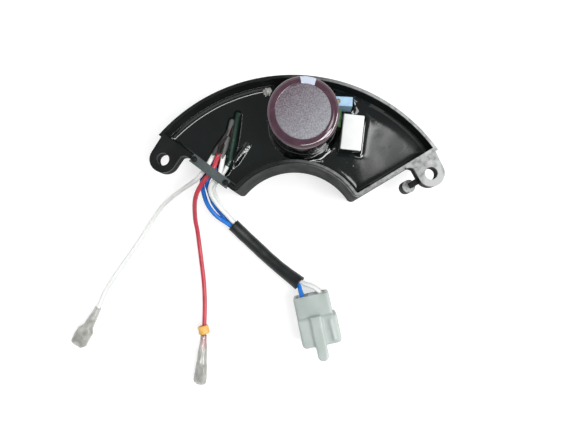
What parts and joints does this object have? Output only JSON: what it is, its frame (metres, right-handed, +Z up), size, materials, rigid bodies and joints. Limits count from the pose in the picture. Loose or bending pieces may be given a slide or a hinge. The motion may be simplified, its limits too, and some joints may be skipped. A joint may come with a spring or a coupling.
{
  "type": "automatic voltage regulator",
  "caption": "Crescent tray with two mounting ears, potted circuit, tall capacitor and trimmer, and wires to a plug and push-on terminals; regulates a generator's output voltage.",
  "frame": {"origin": "under the middle of the tray's box, on the face that it rests on", "axes": "+X from ear to ear, +Y towards the outer arc, +Z up from the base to the open side"},
  "size_m": [0.2054, 0.1734, 0.0521],
  "materials": {
    "case_plastic": "satin",
    "clamp_plastic": "matte",
    "resin": "glossy",
    "board": "satin",
    "can_metal": "satin",
    "capacitor_sleeve": "satin",
    "capacitor_disc": "matte",
    "lead_metal": "satin",
    "film_white": "satin",
    "trimmer_blue": "satin",
    "brass": "polished",
    "chip_black": "matte",
    "chip_white": "matte",
    "resistor_blue": "glossy",
    "diode_glass": "glossy",
    "adhesive": "satin",
    "wire_white": "satin",
    "wire_red": "satin",
    "wire_blue": "satin",
    "harness_black": "satin",
    "nylon": "satin",
    "contact_metal": "satin",
    "terminal_metal": "satin",
    "sleeve_clear": "glossy",
    "marker_orange": "satin"
  },
  "bodies": {
    "regulator": {"case": "case_plastic", "clamp_bar": "clamp_plastic", "potting_resin": "resin", "main_board": "board", "control_board": "board", "capacitor_can": "can_metal", "capacitor_sleeve": "capacitor_sleeve", "capacitor_end_disc": "capacitor_disc", "capacitor_pins": "lead_metal", "film_capacitor": "film_white", "film_capacitor_leads": "lead_metal", "trimmer_body": "trimmer_blue", "trimmer_pins": "lead_metal", "bridge_rectifier": "chip_black", "power_transistor": "chip_black", "optocoupler": "chip_white", "driver_chip": "chip_black", "sense_resistors": "resistor_blue", "zener_diodes": "diode_glass", "adhesive_dab": "adhesive", "white_lead": "wire_white", "red_lead": "wire_red", "blue_wire_a": "wire_blue", "blue_wire_b": "wire_blue", "white_wire_a": "wire_white", "white_wire_b": "wire_white", "harness_sleeve": "harness_black", "connector_housing": "nylon", "connector_contacts": "contact_metal", "white_terminal": "terminal_metal", "white_terminal_sleeve": "sleeve_clear", "red_terminal": "terminal_metal", "red_terminal_sleeve": "sleeve_clear", "marker_sleeve": "marker_orange"},
    "adjuster": {"trimmer_screw": "brass"}
  },
  "joints": [
    {"name": "trimmer_turn", "type": "hinge", "parent": "regulator", "child": "adjuster", "pos_m": [0.01952, 0.01847, 0.0325], "axis": [0, 0, 1], "continuous": true}
  ]
}
